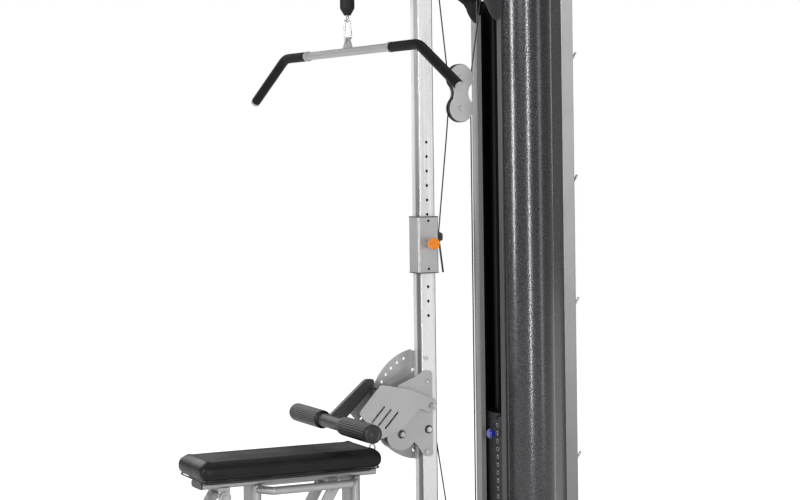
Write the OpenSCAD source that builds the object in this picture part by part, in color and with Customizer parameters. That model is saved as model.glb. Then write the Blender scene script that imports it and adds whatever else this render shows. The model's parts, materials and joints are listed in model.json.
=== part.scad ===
// Lat pulldown and low row machine: a selector stack in a curved shroud, a front upright with an
// adjustable cable carriage, a swing-up seat and a thigh hold-down with foam rollers.
// +X is the sitter's right, +Y runs from the seat to the weight tower, Z = 0 is the floor.

/* [Layout] */
// Reach of the base in front of the upright's centre
front_reach = 980; // [940:10:1100]
// Reach of the base behind the upright's centre
rear_reach = 640; // [630:10:760]
// Height of the machine to the top of the boom
machine_h = 2215; // [2205:5:2300]

/* [Base] */
// Height of the rubber feet
foot_h = 10; // [6:1:16]
// Height of the base tubes
base_h = 60; // [50:1:70]
// Width of the centre beam
beam_w = 100; // [80:1:110]
// Width of the front foot
front_foot_w = 600; // [480:10:700]
// Width of the rear foot
rear_foot_w = 660; // [520:10:760]

/* [Upright] */
// Outside width of the square upright tube
post_w = 60; // [50:1:64]
// Wall of the upright tube
post_wall = 3; // [2:0.5:5]
// Pitch of the adjustment holes
hole_pitch = 50; // [40:1:60]
// Diameter of the adjustment holes
hole_d = 10.4; // [9:0.1:14]
// Height of the lowest adjustment hole
hole_low = 946; // [930:1:960]
// Number of adjustment holes
hole_n = 13; // [9:1:13]

/* [Carriage] */
// Length of the carriage sleeve
sleeve_h = 190; // [150:1:220]
// Wall of the carriage sleeve
sleeve_wall = 3; // [2:0.5:4]
// Thickness of the plastic bushing between sleeve and upright
bush_t = 5; // [4:0.5:7]
// Diameter of the pop pins
pop_d = 9.8; // [8:0.1:10]

/* [Cables and pulleys] */
// Diameter of the cables
cable_d = 5; // [4:0.5:6]
// Pulley radius to the middle of the cable
sheave_r = 44; // [40:1:46]
// Width of each pulley
sheave_t = 20; // [16:1:24]
// Diameter of the pulley bolts
bolt_d = 10; // [8:0.5:12]
// Distance between the two floating pulleys
float_gap = 108; // [102:1:116]

/* [Hold-down] */
// Height of the hold-down hinge
hold_z = 636; // [620:1:650]
// Radius of the sector plate
sector_r = 194; // [185:1:196]
// Radius of the sector's hole circle
sector_hole_r = 172; // [160:1:178]
// Angle between sector holes
sector_step = 9.7; // [8:0.1:12]
// Thickness of the sector and lever plates
plate_t = 7; // [5:0.5:8]
// Diameter of the thigh rollers
roller_d = 63; // [55:1:90]
// Length of each thigh roller
roller_l = 230; // [180:5:260]

/* [Seat] */
// Length of the seat pad
pad_l = 644; // [560:2:660]
// Width of the seat pad
pad_w = 250; // [220:5:300]
// Thickness of the seat pad
pad_t = 62; // [50:1:70]
// Length of the swing links between their pivots
link_l = 330; // [300:5:345]
// Lean of the swing links from vertical
link_lean = 31; // [25:1:35]

/* [Weight tower] */
// Width of a weight plate
stack_w = 280; // [240:5:285]
// Depth of a weight plate
stack_d = 116; // [90:1:118]
// Height taken by one weight plate
plate_pitch = 28; // [22:1:30]
// Number of plates left down below the selector pin
plates_down = 14; // [8:1:14]
// Number of plates picked up by the selector pin
plates_up = 2; // [1:1:4]
// Diameter of the guide rods
rod_d = 24; // [18:1:26]
// Radius of the curved shrouds
shroud_r = 96; // [94:1:105]
// Wall of the shrouds
shroud_t = 3; // [2:0.5:4]

/* [Lat bar] */
// Half length of the lat bar
bar_half = 715; // [600:5:760]
// Distance from the middle to each bend
bar_bend = 470; // [400:5:520]
// Drop of the handles below the bar
bar_drop = 145; // [90:5:180]
// Diameter of the bar
bar_d = 28; // [25:1:32]
// Thickness of the rubber grips
grip_t = 3; // [2:0.5:6]

/* [Clearances] */
// Gap between pieces that pass each other
gap = 0.4; // [0.3:0.1:0.8]
// Radial clearance of a running fit
fit = 0.08; // [0.02:0.01:0.1]

/* [Hidden] */
$fn = 48;

upright_y = (front_reach - rear_reach) / 2;
beam_top = foot_h + base_h;
post_r = post_w / 2;
groove = cable_d / 2;
sheave_rim = sheave_r + groove + 2;
bolt_r = bolt_d / 2;
bearing_r = 14;

// pulley centres, as [Y, Z]
bar_y = -280;
top_z = machine_h - 65;
stack_y = 340;
front_c = [bar_y + sheave_r, top_z];
boom_c = [16, top_z];
tower_c = [stack_y - sheave_r, top_z];
float_y = 147;
float_low = [float_y, 1663];
float_up = [float_y, 1663 + float_gap];
row_front_c = [-111, 544];
row_rear_c = [-8, 554];
base_c = [float_y, 112];
row_rear_r = sheave_r - 4;

// hold-down
hold_c = [0, hold_z];
lever_x = post_r + 14;
axle_c = [-350, hold_z - 39];
axle_r = 10;
roller_x = 88;
pin_angle = 19.3;

// seat
pad_rear = -224;
pad_mid = pad_rear - pad_l / 2;
pad_z = 450;
board_t = 10;
rail_t = 23;
rail_z = pad_z - board_t - rail_t;
rail_rear = pad_rear + 8;
rail_l = pad_l - 20;
seat_post_y = [-648, -289];
link_r = 19;
link_x = beam_w / 2 + 3;
link_t = 8;
link_low = [[-934, 105], [-548, 105]];
link_dy = link_l * sin(link_lean);
link_dz = link_l * cos(link_lean);
pivot_r = 8;

// tower
tower_front = 260;
trim_in = 75;
shroud_c = [94, 355];
column_y = 545;
column_d = 50;
base_plate_t = 8;
stack_z = beam_top + base_plate_t + 31;
pick_z = stack_z + plates_down * plate_pitch;
head_z = pick_z + plates_up * plate_pitch;
stem_r = 12;
select_r = 4.75;
boom_low = machine_h - 145;
boom_t = 5;
// underside of the tower's header tube
header_z = 2052;
shroud_top = 2060;

// ---------- helpers ----------
function unit(v) = v / norm(v);
function corner(a, b, c, r, n) = let (u = unit(a - b), v = unit(c - b), h = acos(u * v) / 2,
    m = b + unit(u + v) * r / sin(h), p = b + u * r / tan(h) - m, q = b + v * r / tan(h) - m,
    s = atan2(p[1], p[0]), t = (atan2(q[1], q[0]) - s + 540) % 360 - 180)
    [for (i = [0:n]) m + r * [cos(s + t * i / n), sin(s + t * i / n)]];
function rounded(p, r, n = 6) = [for (i = [0:len(p) - 1])
    each corner(p[(i + len(p) - 1) % len(p)], p[i], p[(i + 1) % len(p)], r[i], n)];
function arc(c, r, a0, a1, n = 16) =
    [for (i = [0:n]) c + r * [cos(a0 + (a1 - a0) * i / n), sin(a0 + (a1 - a0) * i / n)]];

module at_upright() { translate([0, upright_y, 0]) children(); }
module both() { children(); mirror([1, 0, 0]) children(); }
module rsquare(w, d, r) {
    square([w - 2 * r, d], center = true);
    square([w, d - 2 * r], center = true);
    for (x = [-1, 1], y = [-1, 1]) translate([x * (w / 2 - r), y * (d / 2 - r)]) circle(r);
}
module flat_oval(w, d) {
    square([w - d, d], center = true);
    for (x = [-1, 1]) translate([x * (w - d) / 2, 0]) circle(d / 2);
}
// outline given as [Y, Z], standing from x0 to x0 + t
module slab(x0, t) translate([x0, 0, 0]) rotate([90, 0, 90]) linear_extrude(t) children();
module rod_x(c, r, x0, x1) translate([x0, c[0], c[1]]) rotate([0, 90, 0]) cylinder(r = r, h = x1 - x0);
module hex_head(c, x0, af = 17, t = 7) translate([x0, c[0], c[1]]) rotate([0, 90, 0])
    cylinder(d = af / cos(30), h = t, $fn = 6);
module block(lo, hi) translate(lo) cube(hi - lo);
// round bar between two points
module rod(a, b, r) {
    v = b - a;
    translate(a) rotate([0, acos(v[2] / norm(v)), atan2(v[1], v[0])]) cylinder(r = r, h = norm(v));
}
// cable along points, swept with eight sides
module cable(p, r = groove, n = 8) {
    m = len(p);
    dir = [for (i = [0:m - 1]) unit(p[min(i + 1, m - 1)] - p[max(i - 1, 0)])];
    side = [for (d = dir) unit(cross(d, [1, 0, 0]))];
    ring = [for (i = [0:m - 1], k = [0:n - 1])
        p[i] + r * (cos(360 * k / n) * [1, 0, 0] + sin(360 * k / n) * side[i])];
    polyhedron(ring, concat([[for (k = [0:n - 1]) k]], [[for (k = [n - 1:-1:0]) (m - 1) * n + k]],
        [for (i = [0:m - 2], k = [0:n - 1])
            [i * n + (k + 1) % n, i * n + k, (i + 1) * n + k, (i + 1) * n + (k + 1) % n]]));
}
function yz(p) = [for (q = p) [0, q[0], q[1]]];

// ---------- base ----------
module base_beam() color("dimgray") {
    difference() {
        translate([0, (rear_reach - front_reach) / 2, foot_h]) linear_extrude(base_h)
            square([beam_w, front_reach + rear_reach - 120], center = true);
        translate([0, (rear_reach - front_reach) / 2, foot_h + base_h / 2]) rotate([90, 0, 0])
            linear_extrude(front_reach + rear_reach, center = true)
                square([beam_w - 6, base_h - 6], center = true);
        block([-sheave_t / 2 - 3, base_c[0] - sheave_rim - 4, foot_h - 1],
            [sheave_t / 2 + 3, base_c[0] + sheave_rim + 4, beam_top + 1]);
    }
    for (c = link_low) both() link_lug(c, beam_top);
    both() slab(sheave_t / 2 + 3, 5) difference() {
        union() {
            translate([base_c[0] - 30, beam_top - 3]) square([60, base_c[1] - beam_top + 3]);
            translate(base_c) circle(30);
        }
        translate(base_c) circle(bolt_r);
    }
}
// pivot lug from height z0 to the pivot, standing up or hanging down
module link_lug(c, z0) slab(beam_w / 2 - 10, 10) difference() {
    union() {
        translate([c[0] - link_r, min(z0, c[1])]) square([2 * link_r, abs(z0 - c[1])]);
        translate(c) circle(link_r);
    }
    translate(c) circle(pivot_r);
}
module foot_tube(w, y0) translate([0, y0 + 30, foot_h]) difference() {
    translate([-w / 2, -30, 0]) cube([w, 60, base_h]);
    translate([-w / 2 - 1, -27, 3]) cube([w + 2, 54, base_h - 6]);
}
module end_plugs(w, y0) for (s = [-1, 1]) translate([s * (w / 2 - 6), y0 + 30, foot_h + base_h / 2])
    cube([12, 54, base_h - 6], center = true);
module cross_feet() color("dimgray") {
    foot_tube(front_foot_w, -front_reach);
    end_plugs(front_foot_w, -front_reach);
    foot_tube(rear_foot_w, rear_reach - 60);
    end_plugs(rear_foot_w, rear_reach - 60);
}
module rubber_feet() color("black") {
    for (s = [-1, 1]) {
        translate([s * (front_foot_w / 2 - 40), -front_reach + 30, 0]) cylinder(r = 26, h = foot_h);
        translate([s * (rear_foot_w / 2 - 40), rear_reach - 30, 0]) cylinder(r = 26, h = foot_h);
    }
    translate([0, -60, 0]) cylinder(r = 26, h = foot_h);
}
// tilted foot rests for rowing, each on an arm from the beam
module foot_plates() color("silver") both() {
    translate([beam_w / 2, -90, foot_h + 18]) cube([100, 30, 30]);
    translate([beam_w / 2 + 20, -75, foot_h + 46]) rotate([-20, 0, 0]) {
        linear_extrude(210) translate([65, 0]) square([130, 6], center = true);
        translate([0, -3, -8]) cube([130, 6, 10]);
    }
}

// ---------- tower frame ----------
module tower_base() color("dimgray") slab_z(beam_top, base_plate_t)
    translate([0, (240 + column_y) / 2]) square([400, column_y - 240], center = true);
module slab_z(z0, t) translate([0, 0, z0]) linear_extrude(t) children();
module upright_post() color("gainsboro") difference() {
    slab_z(beam_top, top_z - sheave_rim - 6 - beam_top) rsquare(post_w, post_w, 6);
    slab_z(beam_top - 1, top_z) rsquare(post_w - 2 * post_wall, post_w - 2 * post_wall, 3);
    for (i = [0:hole_n - 1])
        rod_x([0, hole_low + i * hole_pitch], hole_d / 2, -post_r - 1, post_r + 1);
    rod_x(hold_c, 8, -post_r - 1, post_r + 1);
    rod_x(row_rear_c, bolt_r, -post_r - 1, post_r + 1);
    for (z = [799, 478]) rod_x([-15, z], 4, -post_r - 1, post_r + 1);
    rod_x([-10, 720], 4, -post_r - 1, post_r + 1);
    // window for the low pulley and its cable
    block([-sheave_t / 2 - 3, -post_r - 1, row_rear_c[1] - 52], [sheave_t / 2 + 3, post_r + 1, row_rear_c[1] + 52]);
}
module boom_channel() color("dimgray") {
    difference() {
        slab(-post_r - boom_t, post_w + 2 * boom_t) polygon(rounded([[bar_y - 30, boom_low + 30],
            [bar_y + 40, boom_low], [column_y, boom_low], [column_y, machine_h], [bar_y - 30, machine_h]],
            [25, 60, 1, 1, 40]));
        block([-post_r, bar_y - 60, boom_low - 1], [post_r, column_y + 1, machine_h - boom_t]);
        for (c = [front_c, boom_c, tower_c]) rod_x(c, bolt_r, -60, 60);
    }
    // spacer tubes that hold each pulley in the middle
    for (c = [front_c, boom_c, tower_c]) both() difference() {
        rod_x(c, 9, sheave_t / 2 + 0.5, post_r);
        rod_x(c, bolt_r, 0, 60);
    }
}
// braces from the tower's header tube up to the boom
module boom_braces() color("dimgray") {
    both() slab(post_r + boom_t, 26) polygon(rounded([[262, header_z + 2], [262, boom_low + 32],
        [200, boom_low + 66], [120, boom_low + 66], [118, boom_low + 20]], [2, 20, 6, 6, 12]));
    difference() {
        translate([-102, tower_front + 2, header_z]) cube([204, 20, boom_low - header_z]);
        translate([-99, tower_front + 5, header_z - 1]) cube([198, 14, boom_low - header_z - 2]);
    }
    // scalloped gussets down the front edges of the shrouds
    both() slab(trim_in, 4) polygon([[258, header_z - 83], [258, shroud_top + gap], [262, shroud_top + gap],
        [262, boom_low], [190, boom_low + 6], [152, header_z + 36], [168, header_z + 12],
        [193, header_z - 6], [209, header_z - 17], [219, header_z - 32], [225, header_z - 48],
        [236, header_z - 66], [250, header_z - 80]]);
}
module rear_column() color("silver") difference() {
    slab_z(beam_top, machine_h - beam_top) translate([0, column_y + column_d / 2])
        rsquare(post_w, column_d, 4);
    slab_z(beam_top - 1, machine_h) translate([0, column_y + column_d / 2])
        rsquare(post_w - 6, column_d - 6, 2);
}
module column_cap() color("black") {
    translate([-post_r, column_y, machine_h]) cube([post_w, column_d, 4]);
    translate([-post_r - boom_t, bar_y - 34, boom_low + 30]) cube([post_w + 2 * boom_t, 4, machine_h - boom_low - 60]);
}
module front_trims() color("silver") both() {
    translate([trim_in, tower_front - 2, beam_top + base_plate_t])
        cube([31, 4, shroud_top - beam_top - base_plate_t]);
    translate([trim_in, tower_front + 2, beam_top + base_plate_t])
        cube([3, 14, 1920]);
}
// half-round shell from the front trim to the rear column
module shroud() slab_z(beam_top + base_plate_t, shroud_top - beam_top - base_plate_t) polygon(concat(
    [[106, tower_front + 2]], arc(shroud_c, shroud_r, -76, 82, 24), [[post_r + 2, column_y - 1],
    [post_r - 2, column_y - 1]], arc(shroud_c, shroud_r - shroud_t, 80, -78, 24),
    [[103, tower_front + 2]]));
module shroud_right() color("dimgray") shroud();
module shroud_left() color("dimgray") mirror([1, 0, 0]) shroud();
// pegs for hanging handles, screwed into the back of the column
module accessory_pegs() color("silver") for (z = [398, 955, 1398, 1840]) {
    rod([0, column_y + column_d + 3, z - 12], [0, column_y + column_d + 28, z + 25], 4.5);
    translate([0, column_y + column_d, z - 18]) rotate([-90, 0, 0]) cylinder(r = 9, h = 4);
}

// ---------- weight stack ----------
module guide_rods() color("silver") both()
    translate([100, stack_y, beam_top + base_plate_t]) cylinder(d = rod_d, h = 1930);
module stack_buffers() color("black") both() translate([100, stack_y, beam_top + base_plate_t])
    difference() {
        cylinder(r = 24, h = stack_z - beam_top - base_plate_t - gap);
        translate([0, 0, -1]) cylinder(d = rod_d, h = 60);
    }
module stack_plate(z) difference() {
    translate([0, stack_y, z]) linear_extrude(plate_pitch - gap) rsquare(stack_w, stack_d, 6);
    for (x = [-100, 100]) translate([x, stack_y, z - 1]) cylinder(r = rod_d / 2 + 1, h = plate_pitch + 2);
    translate([0, stack_y, z - 1]) cylinder(r = stem_r + 1, h = plate_pitch + 2);
    translate([0, stack_y, z + plate_pitch / 2]) rotate([90, 0, 0]) cylinder(r = select_r + 1, h = stack_d);
}
module weight_plates() color("black")
    for (i = [0:plates_down - 1]) stack_plate(stack_z + i * plate_pitch);
module lifted_plates() color("black")
    for (i = [0:plates_up - 1]) stack_plate(pick_z + i * plate_pitch);
module head_plate() color("dimgray") {
    difference() {
        translate([0, stack_y, head_z]) linear_extrude(plate_pitch - gap) rsquare(stack_w, stack_d, 6);
        for (x = [-100, 100]) translate([x, stack_y, head_z - 1]) cylinder(r = rod_d / 2 + 1, h = 40);
        translate([0, stack_y, head_z - 1]) cylinder(r = stem_r + 0.05, h = 40);
        translate([0, stack_y, head_z + plate_pitch / 2]) rotate([90, 0, 0])
            cylinder(r = select_r + 1, h = stack_d);
    }
    // eye for the pin's lanyard
    translate([18, stack_y - stack_d / 2 - 6, head_z + 18]) cube([4, 6, 6]);
}
module selector_stem() color("silver") difference() {
    union() {
        translate([0, stack_y, stack_z + 2]) cylinder(r = stem_r, h = head_z + 60 - stack_z);
        translate([0, stack_y, head_z + 62]) sphere(stem_r);
    }
    for (i = [0:plates_down + plates_up])
        translate([0, stack_y + 20, stack_z + (i + 0.5) * plate_pitch]) rotate([90, 0, 0])
            cylinder(r = select_r + 0.5, h = 40);
    translate([0, stack_y, head_z + 50]) cylinder(r = groove, h = 40);
}
sel_z = pick_z + plate_pitch / 2;
sel_front = stack_y - stack_d / 2;
module selector_pin() color("silver") translate([0, stack_y + stem_r, sel_z]) rotate([90, 0, 0])
    cylinder(r = select_r, h = stem_r + stack_d / 2 + 14);
module pin_knob() color("royalblue") translate([0, sel_front - 14, sel_z]) rotate([90, 0, 0])
    difference() {
        union() {
            cylinder(r = 10, h = 14);
            translate([0, 0, 13]) cylinder(r1 = 15, r2 = 17, h = 4);
            translate([0, 0, 17]) cylinder(r1 = 17, r2 = 13, h = 6);
        }
        translate([0, 0, -1]) cylinder(r = select_r, h = 16);
    }
module pin_lanyard() color("midnightblue") cable([[10, sel_front - 31, sel_z + 15.6],
    [17, sel_front - 32, sel_z + 27], [27, sel_front - 30, sel_z + 40], [32, sel_front - 25, sel_z + 52],
    [31, sel_front - 18, sel_z + 61], [27.5, sel_front - 10, sel_z + 64], [23.6, sel_front - 3, sel_z + 63.6]], 1.5);

// ---------- pulleys ----------
// nylon pulley with a ball bearing pressed in its middle
module sheave(c, r) translate([0, c[0], c[1]]) rotate([0, 90, 0]) {
    rim = r + groove + 2;
    rotate_extrude() difference() {
        union() {
            translate([bearing_r, -sheave_t / 2]) square([6, sheave_t]);
            translate([bearing_r, -5]) square([rim - bearing_r - 6, 10]);
            translate([rim - 12, -sheave_t / 2 + 2]) square([12, sheave_t - 4]);
        }
        translate([r + 1, 0]) circle(r = groove + 1.7);
        translate([r + 1, -groove - 1.7]) square([8, 2 * groove + 3.4]);
    }
    rotate_extrude() translate([bolt_r + fit, -4.5]) square([bearing_r - bolt_r - fit - 0.02, 9]);
}
module front_sheave() color("black") sheave(front_c, sheave_r);
module boom_sheave() color("black") sheave(boom_c, sheave_r);
module tower_sheave() color("black") sheave(tower_c, sheave_r);
module float_sheave_upper() color("black") sheave(float_up, sheave_r);
module float_sheave_lower() color("black") sheave(float_low, sheave_r);
module row_sheave_front() color("black") sheave(row_front_c, sheave_r);
module row_sheave_rear() color("black") sheave(row_rear_c, row_rear_r);
module base_sheave() color("black") sheave(base_c, sheave_r);
// bolt along X with a head and a nut outside half-width w
module axle_bolt(c, w_left, w_right, washer = 0) {
    rod_x(c, bolt_r, -w_left - 9, w_right + 0.5);
    hex_head(c, w_right + washer, 17, 7);
    if (washer > 0) rod_x(c, 13, w_right, w_right + washer);
    hex_head(c, -w_left - 8, 17, 8);
}
module frame_bolts() color("silver") {
    for (c = [front_c, boom_c, tower_c]) axle_bolt(c, post_r + boom_t, post_r + boom_t);
    axle_bolt(base_c, sheave_t / 2 + 8, sheave_t / 2 + 8);
    axle_bolt(row_front_c, post_r + 5 + plate_t, post_r + 5, 2);
    axle_bolt(row_rear_c, post_r + 5, post_r + 5, 2);
    for (c = [[-10, 720], [-15, 478]]) both() hex_head(c, post_r + 5, 13, 6);
    both() hex_head([-15, 799], post_r, 13, 6);
    // spacers beside the row pulleys
    both() difference() {
        union() {
            rod_x(row_front_c, 9, sheave_t / 2 + 0.5, post_r);
            rod_x(row_rear_c, 9, sheave_t / 2 + 0.5, post_r - post_wall);
        }
        rod_x(row_front_c, bolt_r, 0, 60);
        rod_x(row_rear_c, bolt_r, 0, 60);
    }
}
// pair of waisted plates that carry the two floating pulleys
module float_plates() color("silver") {
    for (s = [-1, 1]) difference() {
        slab(s > 0 ? sheave_t / 2 + 1 : -sheave_t / 2 - 5, 4) union() {
            for (c = [float_low, float_up]) translate(c) circle(sheave_r + 2);
            polygon(rounded([float_low + [-36, 20], float_low + [36, 20], float_low + [26, float_gap / 2],
                float_up + [36, -20], float_up + [-36, -20], float_low + [-26, float_gap / 2]],
                [2, 2, 30, 2, 2, 30]));
        }
        for (c = [float_low, float_up]) rod_x(c, bolt_r, -40, 40);
    }
    for (c = [float_low, float_up]) axle_bolt(c, sheave_t / 2 + 5, sheave_t / 2 + 5);
    rod_x([float_y, (float_low[1] + float_up[1]) / 2], 4, -sheave_t / 2 - 1, sheave_t / 2 + 1);
}

// ---------- carriage ----------
sleeve_mid = hole_low + 5 * hole_pitch - 5;
pop_z = hole_low + 5 * hole_pitch;
sleeve_in = post_w + 2 * bush_t;
sleeve_x = sleeve_in / 2 + sleeve_wall;
module carriage_sleeve() color("silver") {
    difference() {
        slab_z(sleeve_mid - sleeve_h / 2, sleeve_h) rsquare(2 * sleeve_x, 2 * sleeve_x + 4, 8);
        slab_z(sleeve_mid - sleeve_h, 2 * sleeve_h) rsquare(sleeve_in, sleeve_in + 4, 5);
        rod_x([0, pop_z], pop_d / 2 + fit, post_r, 60);
        // sight holes near both ends
        for (z = [-1, 1]) rod_x([0, sleeve_mid + z * (sleeve_h / 2 - 12)], 5, -60, 60);
    }
    // guide barrel of the pop pin
    difference() {
        hex_head([0, pop_z], sleeve_x, 24, 7);
        rod_x([0, pop_z], pop_d / 2 + fit, post_r, 90);
    }
    difference() {
        rod_x([0, pop_z], 10, sleeve_x + 7, sleeve_x + 12);
        rod_x([0, pop_z], pop_d / 2 + fit, post_r, 90);
    }
}
module carriage_bushings() color("black") for (s = [-1, 1]) difference() {
    union() {
        translate([0, 0, sleeve_mid + s * (sleeve_h / 2 - 20) - 20]) linear_extrude(40)
            rsquare(sleeve_in, sleeve_in + 4, 5);
        translate([0, 0, sleeve_mid + s * (sleeve_h / 2 + 1.5) - 1.5]) linear_extrude(3)
            rsquare(2 * sleeve_x + 2, 2 * sleeve_x + 6, 8);
    }
    slab_z(0, 3000) rsquare(post_w + 2 * gap, post_w + 2 * gap, 6);
}
// pin and knob, drawn so that the pin clears the upright
module carriage_knob() color("orange") {
    rod_x([0, pop_z], pop_d / 2, post_r + gap, sleeve_x + 30);
    rod_x([0, pop_z], 14, sleeve_x + 25, sleeve_x + 33);
    rod_x([0, pop_z], 20, sleeve_x + 31, sleeve_x + 46);
}
clevis_c = [58, 1216];
module cable_clevis() color("dimgray") {
    both() slab(5, 4) difference() {
        polygon(rounded([[sleeve_x + 2, 1196], [70, 1204], [70, 1228], [sleeve_x + 2, 1240]], [1, 8, 8, 1]));
        translate(clevis_c) circle(4);
    }
    rod_x(clevis_c, 4, -12, 12);
    rod([0, 59, 1206], [0, 74, 1092], 3.5);
    rod_x(clevis_c, 11, -5, 5);
}

// ---------- row plates and hold-down ----------
module row_plates() color("silver") for (s = [-1, 1]) difference() {
    slab(s > 0 ? post_r : -post_r - 5, 5) union() {
        polygon(rounded([[-122, 713], [-54, 739], [-22, 758], [9, 755], [9, 462], [-23, 462], [-54, 507],
            [-130, 560]], [4, 30, 12, 12, 8, 8, 8, 8]));
        translate(row_front_c) circle(55);
    }
    for (c = [row_front_c, row_rear_c]) rod_x(c, bolt_r, -60, 60);
    rod_x(hold_c, pivot_r, -60, 60);
}
module sector_plate() color("silver") {
    difference() {
        slab(-post_r - 5 - plate_t, plate_t) intersection() {
            translate(hold_c) circle(sector_r, $fn = 96);
            translate([-300, hold_z - 191]) square([300 - post_r - 7, 382]);
        }
        for (i = [-6:5]) let (a = pin_angle + i * sector_step)
            rod_x(hold_c + sector_hole_r * [-cos(a), sin(a)], 5.5, -60, 0);
        rod_x(row_front_c, bolt_r, -60, 60);
    }
    // flange that bolts to the front of the upright
    for (z = [[hold_z - 188, 22], [hold_z + 124, 62]])
        translate([-post_r - 5 - plate_t, -post_r - 7, z[0]]) cube([30, 7, z[1]]);
}
module hinge_bolt() color("silver") {
    rod_x(hold_c, pivot_r, -lever_x - plate_t - 2, lever_x + plate_t + 2);
    for (s = [-1, 1]) {
        rod_x(hold_c, 14, s > 0 ? lever_x + plate_t + gap : -lever_x - plate_t - gap - 2,
            s > 0 ? lever_x + plate_t + gap + 2 : -lever_x - plate_t - gap);
        hex_head(hold_c, s > 0 ? lever_x + plate_t + gap + 2 : -lever_x - plate_t - gap - 10, 19, 8);
        // collar between the row plate and the lever plate
        rod_x(hold_c, 13, s > 0 ? post_r + 5 : -lever_x + gap, s > 0 ? lever_x - gap : -post_r - 5);
    }
}
hold_pin_c = hold_c + sector_hole_r * [-cos(pin_angle), sin(pin_angle)];
lever_outline = rounded([[-192, hold_z + 84], [-87, hold_z + 63], [12, hold_z + 23], [16, hold_z - 16],
    [-15, hold_z - 19], [-47, hold_z - 6], [-112, hold_z - 67], [-194, hold_z - 101], [-277, hold_z - 8]],
    [14, 20, 10, 14, 10, 10, 30, 14, 10]);
module lever_plates() color("silver") for (s = [-1, 1]) difference() {
    slab(s > 0 ? lever_x : -lever_x - plate_t, plate_t) difference() {
        polygon(lever_outline);
        for (c = [[-206, -16], [-182, -28], [-156, -39]]) translate([c[0], hold_z + c[1]]) rotate(-43)
            rsquare(7, 74, 3);
    }
    rod_x(hold_c, pivot_r + fit, -90, 90);
    if (s < 0) rod_x(hold_pin_c, pop_d / 2 + fit, -90, 0);
}
// curved box arm from the lever plates to the roller axle
module lever_arm() color("dimgray") {
    difference() {
        slab(-lever_x, 18) polygon(rounded([[-178, hold_z + 96], [-214, hold_z + 97],
            [-345, hold_z - 14], [axle_c[0] - 20, axle_c[1] + 2], [axle_c[0] + 2, axle_c[1] - 21],
            [-306, hold_z - 44], [-206, hold_z + 50]], [8, 26, 30, 8, 8, 30, 30]));
        rod_x(axle_c, axle_r, -90, 90);
    }
    difference() {
        rod_x(axle_c, 22.5, -roller_x + 3, roller_x - 3);
        rod_x(axle_c, axle_r, -90, 90);
    }
    // spacer between the two lever plates
    rod_x([-198.5, hold_z + 70], 7, -lever_x + 18, lever_x);
    rod_x(axle_c, axle_r, -roller_x - roller_l - 2, roller_x + roller_l + 2);
}
module hold_pin() color("orange") {
    rod_x(hold_pin_c, pop_d / 2, -lever_x - plate_t - 30, -post_r - 5 - plate_t - gap);
    rod_x(hold_pin_c, 18, -lever_x - plate_t - 42, -lever_x - plate_t - 30);
    rod_x(hold_pin_c, 10, -lever_x - plate_t - 30, -lever_x - plate_t - 16);
}
// foam sleeve on a bush, closed by an end cap
module roller() difference() {
    union() {
        rod_x(axle_c, roller_d / 2, roller_x, roller_x + roller_l);
        rod_x(axle_c, roller_d / 2 - 1.5, roller_x + roller_l, roller_x + roller_l + 7);
    }
    rod_x(axle_c, axle_r + fit, roller_x - 1, roller_x + roller_l + 2 + gap);
}
module roller_right() color("dimgray") roller();
module roller_left() color("dimgray") mirror([1, 0, 0]) roller();

// ---------- seat ----------
module seat_posts() color("silver") {
    for (y = seat_post_y) {
        slab_z(beam_top, rail_z - gap - beam_top) translate([0, y]) flat_oval(beam_w, 36);
        // welded saddle
        slab_z(beam_top, 8) translate([0, y]) square([beam_w, 70], center = true);
    }
    // side tubes between the posts
    both() {
        z = rail_z - gap - 14.5;
        for (y = [[seat_post_y[0], 1], [seat_post_y[1], -1]])
            rod([beam_w / 2 - 8, y[0] + y[1] * 4, z], [90, y[0] + y[1] * 40, z], 13.5);
        rod([90, seat_post_y[0] + 40, z], [90, seat_post_y[1] - 40, z], 13.5);
        for (y = [seat_post_y[0] + 40, seat_post_y[1] - 40]) translate([90, y, z]) sphere(13.5);
    }
    for (c = link_low) {
        rod_x(c, pivot_r, -link_x - link_t - 1, link_x + link_t + 1);
        pivot_heads(c);
    }
}
module pivot_heads(c) both() {
    rod_x(c, 13, link_x + link_t + gap, link_x + link_t + gap + 2);
    hex_head(c, link_x + link_t + gap + 2, 17, 6);
}
module seat_pad() color("black") translate([0, pad_mid, pad_z]) {
    linear_extrude(pad_t - 12) rsquare(pad_w, pad_l, 26);
    linear_extrude(pad_t) rsquare(pad_w - 16, pad_l - 16, 20);
}
module seat_board() color("black") {
    translate([0, pad_mid, pad_z - board_t]) linear_extrude(board_t) rsquare(pad_w - 60, pad_l - 50, 20);
    // plug in the rail's open front end
    translate([0, rail_rear - rail_l, rail_z + rail_t / 2]) rotate([90, 0, 0]) linear_extrude(4)
        flat_oval(beam_w, rail_t);
}
upper_pivots = [for (c = link_low) c + [link_dy, link_dz]];
module seat_rail() color("silver") {
    translate([0, rail_rear, rail_z + rail_t / 2]) rotate([90, 0, 0]) linear_extrude(rail_l)
        flat_oval(beam_w, rail_t);
    for (c = upper_pivots) {
        both() link_lug(c, rail_z + 2);
        rod_x(c, pivot_r, -link_x - link_t - 1, link_x + link_t + 1);
        pivot_heads(c);
    }
}
// two side plates and a cross tube
module links(c) {
    v = [link_dy, link_dz];
    for (s = [-1, 1]) difference() {
        slab(s > 0 ? link_x : -link_x - link_t, link_t) {
            for (p = [c, c + v]) translate(p) circle(link_r);
            polygon([for (k = [[0, 1], [1, 1], [1, -1], [0, -1]])
                c + k[0] * v + k[1] * link_r * [cos(link_lean), -sin(link_lean)]]);
        }
        for (p = [c, c + v]) rod_x(p, pivot_r + fit, -90, 90);
    }
    rod_x(c + v / 2, 12, -link_x, link_x);
}
module front_links() color("silver") links(link_low[0]);
module rear_links() color("silver") links(link_low[1]);

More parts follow.
